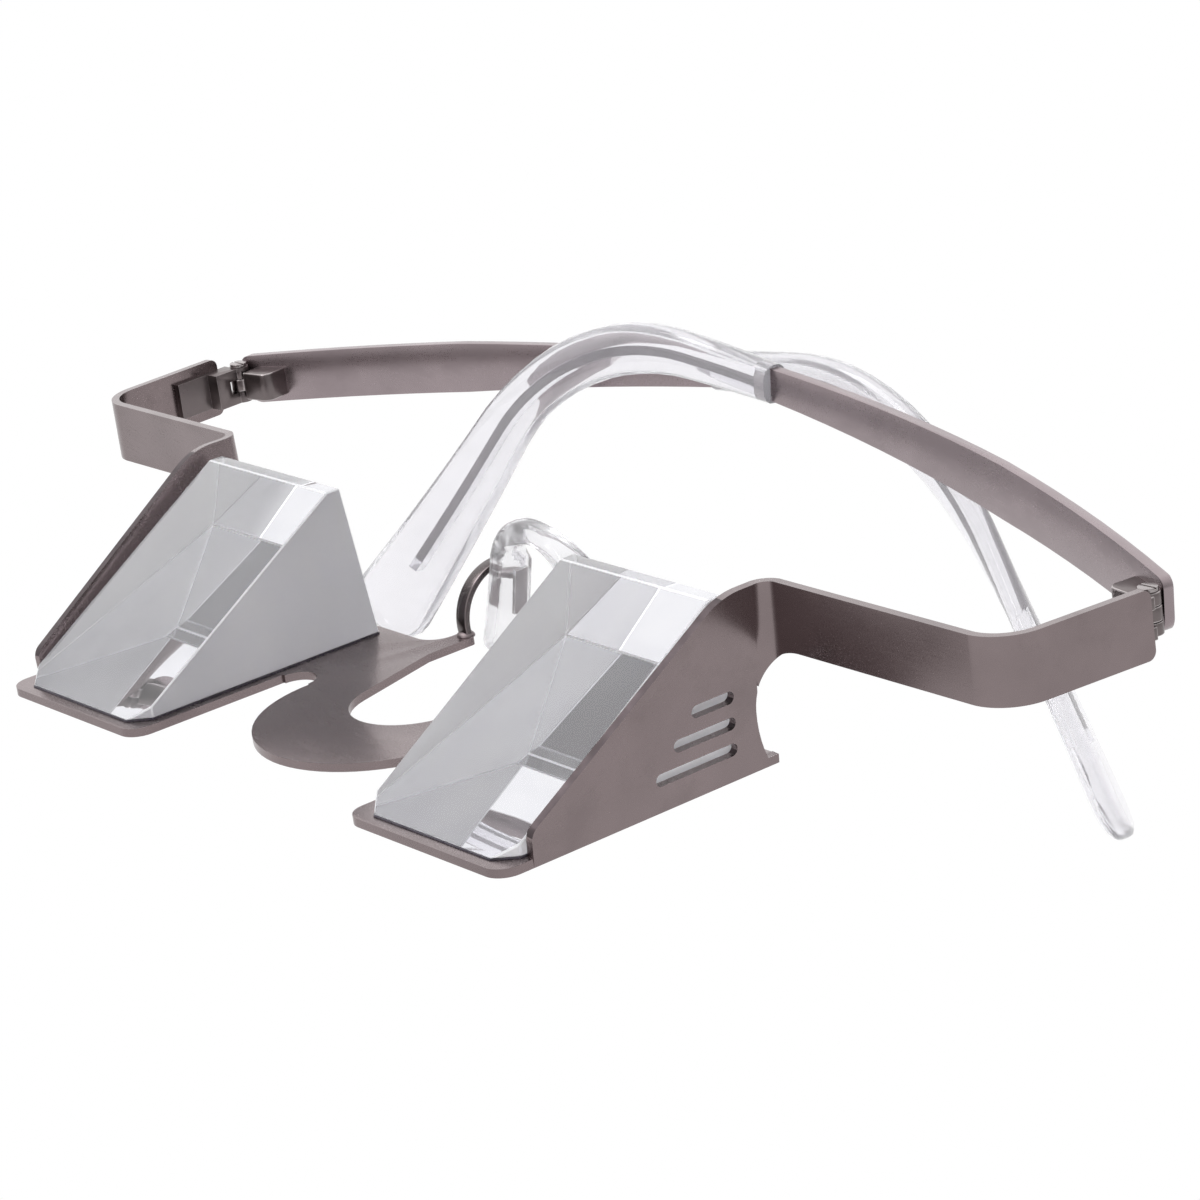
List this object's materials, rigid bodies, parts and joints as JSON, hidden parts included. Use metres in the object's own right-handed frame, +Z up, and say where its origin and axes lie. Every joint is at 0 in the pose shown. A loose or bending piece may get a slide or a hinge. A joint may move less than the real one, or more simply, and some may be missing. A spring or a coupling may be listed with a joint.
{
  "type": "belay glasses",
  "caption": "Belay glasses: right-angle-view prisms bonded to a bent metal front, with bridge, clear nose saddle, and bowed folding temples with clear tips, folded as on a table.",
  "frame": {"origin": "middle of the footprint, on the table the glasses lie on", "axes": "+X towards the wearer's left, +Y from the prisms towards the folded temples, +Z up from the table; the plates under the prisms slope up towards +Y by 14.9 degrees"},
  "size_m": [0.1554, 0.0734, 0.0435],
  "materials": {
    "sheet": "satin, dark warm grey",
    "temple": "satin, warm grey",
    "hinge": "satin, dark grey",
    "screw": "satin, turned head",
    "pad_arm": "satin",
    "pad_insert": "satin",
    "prism_glass": "polished front, base and back, finely ground sides",
    "bond": "clear layer seen dark from the side",
    "clear_tip": "clear, slightly frosted, soft",
    "clear_pad": "clear, soft"
  },
  "bodies": {
    "front": {"frame_front": "sheet", "left_prism": "prism_glass", "right_prism": "prism_glass", "left_prism_bond": "bond", "right_prism_bond": "bond", "left_hinge_leaf": "hinge", "right_hinge_leaf": "hinge", "left_hinge_screw": "screw", "right_hinge_screw": "screw", "left_pad_arm": "pad_arm", "right_pad_arm": "pad_arm", "left_pad_insert": "pad_insert", "right_pad_insert": "pad_insert", "nose_pad": "clear_pad"},
    "left_arm": {"left_temple": "temple", "left_hinge_lug": "hinge", "left_temple_tip": "clear_tip"},
    "right_arm": {"right_temple": "temple", "right_hinge_lug": "hinge", "right_temple_tip": "clear_tip"}
  },
  "joints": [
    {"name": "left_temple_fold", "type": "hinge", "parent": "front", "child": "left_arm", "pos_m": [0.0752, 0.01189, 0.02818], "axis": [0, -0.2573, 0.9663], "range_deg": [-81.8, 0]},
    {"name": "right_temple_fold", "type": "hinge", "parent": "front", "child": "right_arm", "pos_m": [-0.0752, 0.01189, 0.02818], "axis": [0, 0.2573, -0.9663], "range_deg": [-77.3, 1]}
  ]
}
